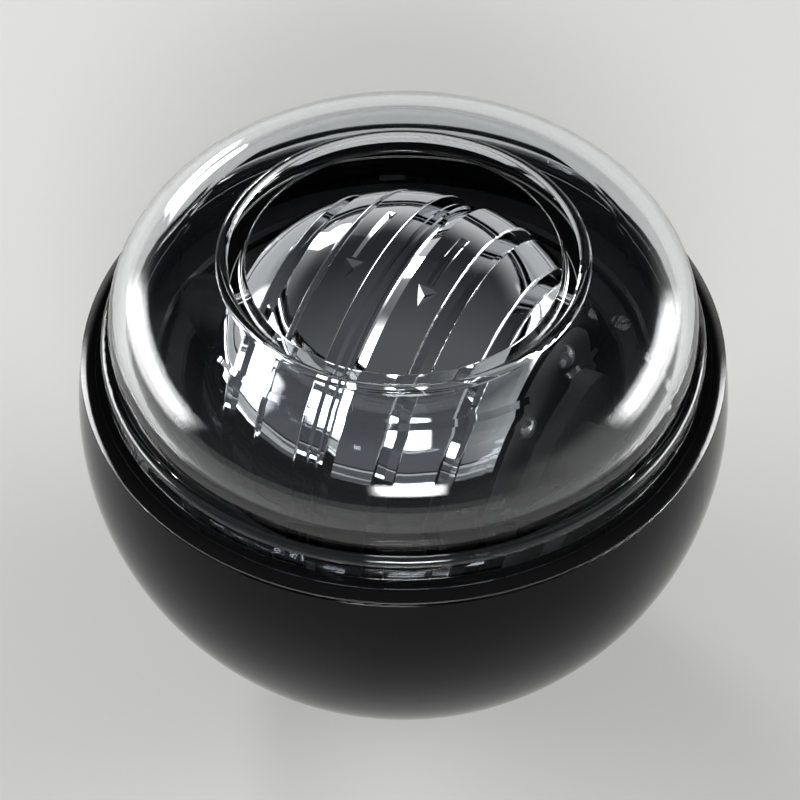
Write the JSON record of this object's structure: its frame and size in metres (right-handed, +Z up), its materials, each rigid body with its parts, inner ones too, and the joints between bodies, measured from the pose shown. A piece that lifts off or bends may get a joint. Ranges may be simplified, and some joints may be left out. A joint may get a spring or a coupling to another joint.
{
  "type": "gyroscopic wrist ball",
  "caption": "Self-starting gyroscopic wrist ball: black bowl, clear dome with a round opening, race, rolling ring and chromed grooved rotor on a steel axle.",
  "frame": {"origin": "centre of the base, level with the tips of the four pips that the ball stands on", "axes": "+Z up along the upright axis of the ball through the middle of the opening; -Y is the side that faces the viewer of the picture; the axle lies level, 27.5 degrees clockwise of +X seen from above"},
  "size_m": [0.073, 0.073, 0.0576],
  "materials": {
    "black_gloss": "moulded ABS, mirror polished",
    "clear_shell": "clear polycarbonate, polished",
    "race_black": "moulded acetal, low friction",
    "ring_black": "moulded nylon",
    "chrome": "die-cast zinc, polished and chrome plated",
    "steel": "turned and ground steel",
    "drum_plastic": "moulded acetal, natural grey",
    "magnet_metal": "nickel plated",
    "copper_wire": "enamelled copper wire",
    "board_green": "solder mask",
    "lamp_clear": "translucent, polished"
  },
  "bodies": {
    "housing": {"lower_shell": "black_gloss", "lower_track": "race_black", "upper_track": "race_black", "upper_shell": "clear_shell"},
    "ring": {"ring_lower": "ring_black", "ring_upper": "ring_black", "ring_screws": "steel", "spring_arbor": "steel", "magnet_carrier": "ring_black", "magnets": "magnet_metal"},
    "rotor": {"axle": "steel", "rotor_half_left": "chrome", "rotor_half_right": "chrome", "rotor_screws": "steel", "left_cap": "chrome", "right_cap": "lamp_clear", "ratchet_ring": "steel", "coil_bobbins": "drum_plastic", "coils": "copper_wire", "led_board": "board_green", "leds": "lamp_clear"},
    "drum": {"spring_drum": "drum_plastic", "drum_cover": "drum_plastic", "pawl_ring": "drum_plastic", "mainspring": "steel"}
  },
  "joints": [
    {"name": "ring_roll", "type": "hinge", "parent": "housing", "child": "ring", "pos_m": [0, 0, 0.03441], "axis": [0, 0, 1], "continuous": true},
    {"name": "rotor_spin", "type": "hinge", "parent": "ring", "child": "rotor", "pos_m": [0, 0, 0.03441], "axis": [0.887, -0.4617, 0], "continuous": true},
    {"name": "spring_wind", "type": "hinge", "parent": "ring", "child": "drum", "pos_m": [0, 0, 0.03441], "axis": [0.887, -0.4617, 0], "range_deg": [0, 1080], "stiffness_Nm_per_rad": 0.001, "deforming": ["mainspring"]}
  ]
}
